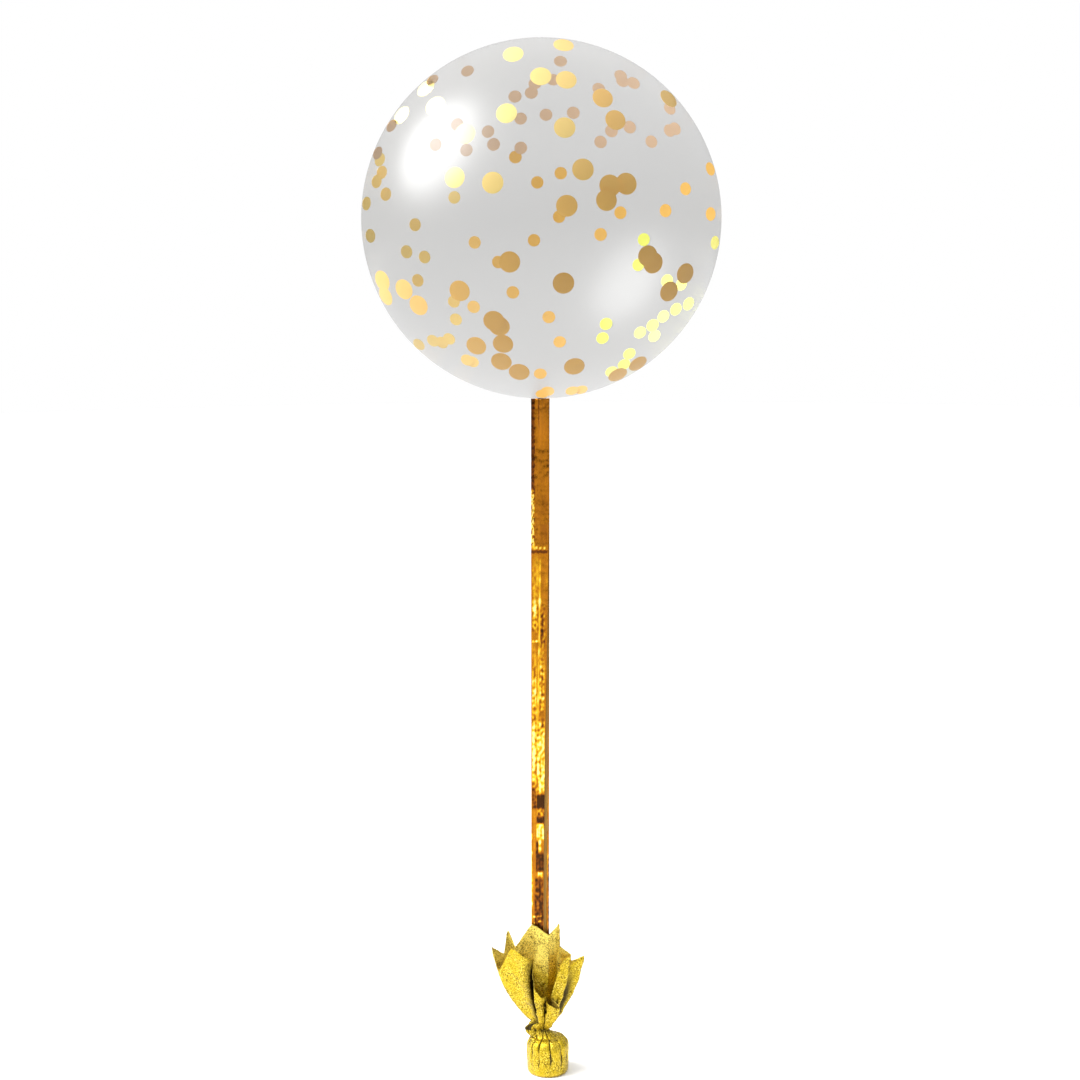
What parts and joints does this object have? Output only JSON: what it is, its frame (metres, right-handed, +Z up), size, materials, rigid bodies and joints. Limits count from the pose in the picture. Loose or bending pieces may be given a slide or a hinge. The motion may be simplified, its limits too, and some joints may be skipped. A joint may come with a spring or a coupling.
{
  "type": "clear bubble balloon with ribbon and balloon weight",
  "caption": "Clear round bubble balloon on a folded foil ribbon that runs down to a foil-wrapped balloon weight with a gathered waist and a crumpled flare.",
  "frame": {"origin": "on the floor, straight under the middle of the globe", "axes": "+Z up along the ribbon, -Y towards the front, with the ribbon's fold and the flare's longer wing on the -X side"},
  "size_m": [0.45, 0.45, 1.3501],
  "materials": {
    "clear_film": "clear stretched film, glossy",
    "amber_foil": "metallised amber foil, creased",
    "gold_foil": "embossed gold foil, crumpled"
  },
  "bodies": {
    "root": {"balloon_globe": "clear_film", "foil_ribbon": "amber_foil", "foil_wrapped_weight": "gold_foil"}
  },
  "joints": []
}
